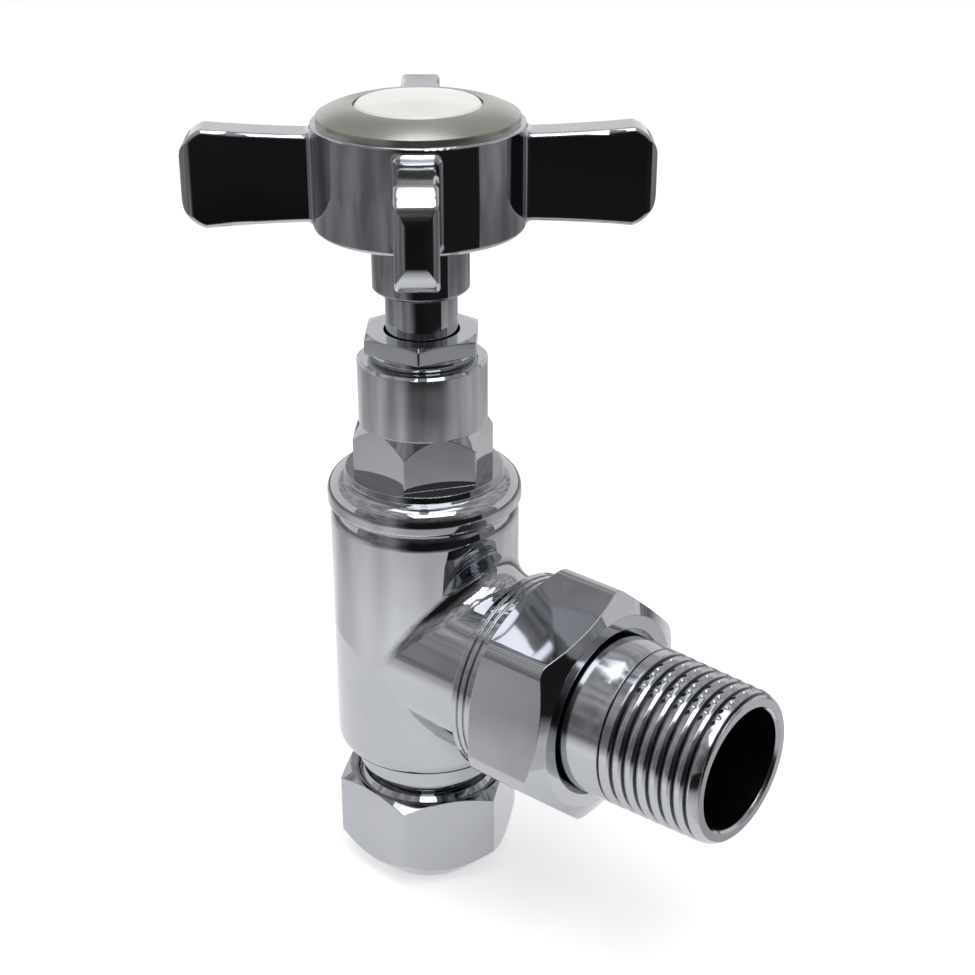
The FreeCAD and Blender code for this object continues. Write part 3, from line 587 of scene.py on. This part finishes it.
def makeReflectionFlagPaint():
    material, paint = startPaint("reflectionFlagPaint")
    tree = material.node_tree
    place = addNode(tree, "ShaderNodeTexCoord").outputs["Object"]
    height = addNode(tree, "ShaderNodeSeparateXYZ", links={"Vector": place}).outputs["Z"]
    flat = addNode(tree, "ShaderNodeVectorMath", {"operation": "MULTIPLY", 1: (1.0, 1.0, 0.0)},
                   {0: place}).outputs["Vector"]
    far = addNode(tree, "ShaderNodeVectorMath", {"operation": "LENGTH"}, {0: flat}).outputs["Value"]

    # 1 straight ahead, falling to 0 at the sides
    unit = addNode(tree, "ShaderNodeVectorMath", {"operation": "NORMALIZE"}, {0: flat})
    heading = math.radians(flagSetup["heading"])
    facing = addNode(tree, "ShaderNodeVectorMath",
                     {"operation": "DOT_PRODUCT", 1: (math.cos(heading), math.sin(heading), 0.0)},
                     {0: unit.outputs["Vector"]})
    inner, outer = [math.cos(math.radians(angle)) for angle in flagSetup["frontHalf"]]
    front = addNode(tree, "ShaderNodeMapRange",
                    {"interpolation_type": "SMOOTHSTEP", "From Min": outer, "From Max": inner},
                    {"Value": facing.outputs["Value"]})

    # painted reflection: white at the valve's foot, darker with distance, another grey up the wall
    # and overhead
    foot, roof = flagSetup["roofClimb"]
    climb = addNode(tree, "ShaderNodeMapRange", {"From Min": foot, "From Max": roof},
                    {"Value": height})
    greys = []
    for fade, tone, overhead in (("nearFade", "sideTone", "roofTone"),
                                 ("frontFade", "frontTone", "frontRoof")):
        near, away = flagSetup[fade]
        low = addNode(tree, "ShaderNodeMapRange",
                      {"From Min": near, "From Max": away,
                       "To Min": 1.0, "To Max": flagSetup[tone]}, {"Value": far})
        grey = addNode(tree, "ShaderNodeMix", {"data_type": "FLOAT", 3: flagSetup[overhead]},
                       {0: climb.outputs["Result"], 2: low.outputs["Result"]})
        greys.append(grey.outputs[0])
    even = addNode(tree, "ShaderNodeMix", {"data_type": "FLOAT"},
                   {0: front.outputs["Result"], 2: greys[0], 3: greys[1]})

    # painted blotches in those reflections
    blotch = addNode(tree, "ShaderNodeTexNoise",
                     {"Scale": 1 / flagSetup["blotchSize"], "Detail": 2.0}, {"Vector": place})
    (least, most), (low, high) = flagSetup["blotchSpan"], flagSetup["blotchTone"]
    patchy = addNode(tree, "ShaderNodeMapRange",
                     {"From Min": least, "From Max": most, "To Min": low, "To Max": high},
                     {"Value": blotch.outputs["Fac"]})
    level = addNode(tree, "ShaderNodeMath", {"operation": "MULTIPLY"},
                    {0: even.outputs[0], 1: patchy.outputs["Result"]})
    tree.links.new(level.outputs[0], paint.inputs["Strength"])
    return material


# near-black glow of the card: painted shade in the union nut's ring
def makeShadeCardPaint():
    material, paint = startPaint("shadeCardPaint")
    paint.inputs["Strength"].default_value = flagSetup["cardTone"]
    return material


def makeFlag(name, section, spread, heading, paint):
    # one point drawn out along the section, then spun round the valve
    start = math.radians(heading + spread / 2)  # the spin runs the negative way
    radius, height = section[0]
    bpy.ops.mesh.primitive_plane_add(size=mm, location=(0, 0, 0))
    flag = bpy.context.object
    flag.name = name
    bpy.ops.object.mode_set(mode="EDIT")
    bpy.ops.mesh.select_all(action="SELECT")
    bpy.ops.mesh.merge(type="CENTER")
    bpy.ops.transform.translate(value=(radius * math.cos(start), radius * math.sin(start), height))
    for nextRadius, nextHeight in section[1:]:
        out = nextRadius - radius
        bpy.ops.mesh.extrude_vertices_move(TRANSFORM_OT_translate={
            "value": (out * math.cos(start), out * math.sin(start), nextHeight - height)})
        radius, height = nextRadius, nextHeight
    bpy.ops.mesh.select_all(action="SELECT")
    bpy.ops.mesh.spin(steps=flagSetup["steps"], angle=math.radians(spread),
                      center=(0, 0, 0), axis=(0, 0, 1))
    bpy.ops.object.mode_set(mode="OBJECT")
    flag.data.materials.append(paint)
    flag.visible_camera = False
    flag.visible_diffuse = False
    flag.visible_shadow = False


makeFloor()
makeWorld()
for lampName, lampSetup in stageSetup["lamps"].items():
    makeSoftBox(lampName, *lampSetup)
reflectionFlagPaint = makeReflectionFlagPaint()
for flagName, flagPlan in flagSetup["sheets"].items():
    makeFlag(flagName, *flagPlan, reflectionFlagPaint)
makeFlag("paintedShadeCard", *flagSetup["card"], makeShadeCardPaint())
print("stage: floor, world,", len(stageSetup["lamps"]), "soft boxes,",
      len(flagSetup["sheets"]), "flags and a card")

# Camera: stands where the photographer did, turned a little to bring the valve to the middle
cameraSetup = {
    "place": (0.15133, -0.16244, 0.16522),
    "aim": (0.01018, 0.00125, 0.06092),
    "lens": 67.2875, "sensor": 36.0, "nearest": 0.01,
}
camera = bpy.data.cameras.new("studioCamera")
camera.lens = cameraSetup["lens"]
camera.sensor_width = cameraSetup["sensor"]
camera.clip_start = cameraSetup["nearest"]
cameraStand = bpy.data.objects.new("studioCamera", camera)
standFacing(cameraStand, cameraSetup["place"], cameraSetup["aim"])
bpy.context.scene.camera = cameraStand
bpy.context.scene.view_settings.view_transform = "Standard"
print("camera: lens", round(camera.lens, 1))
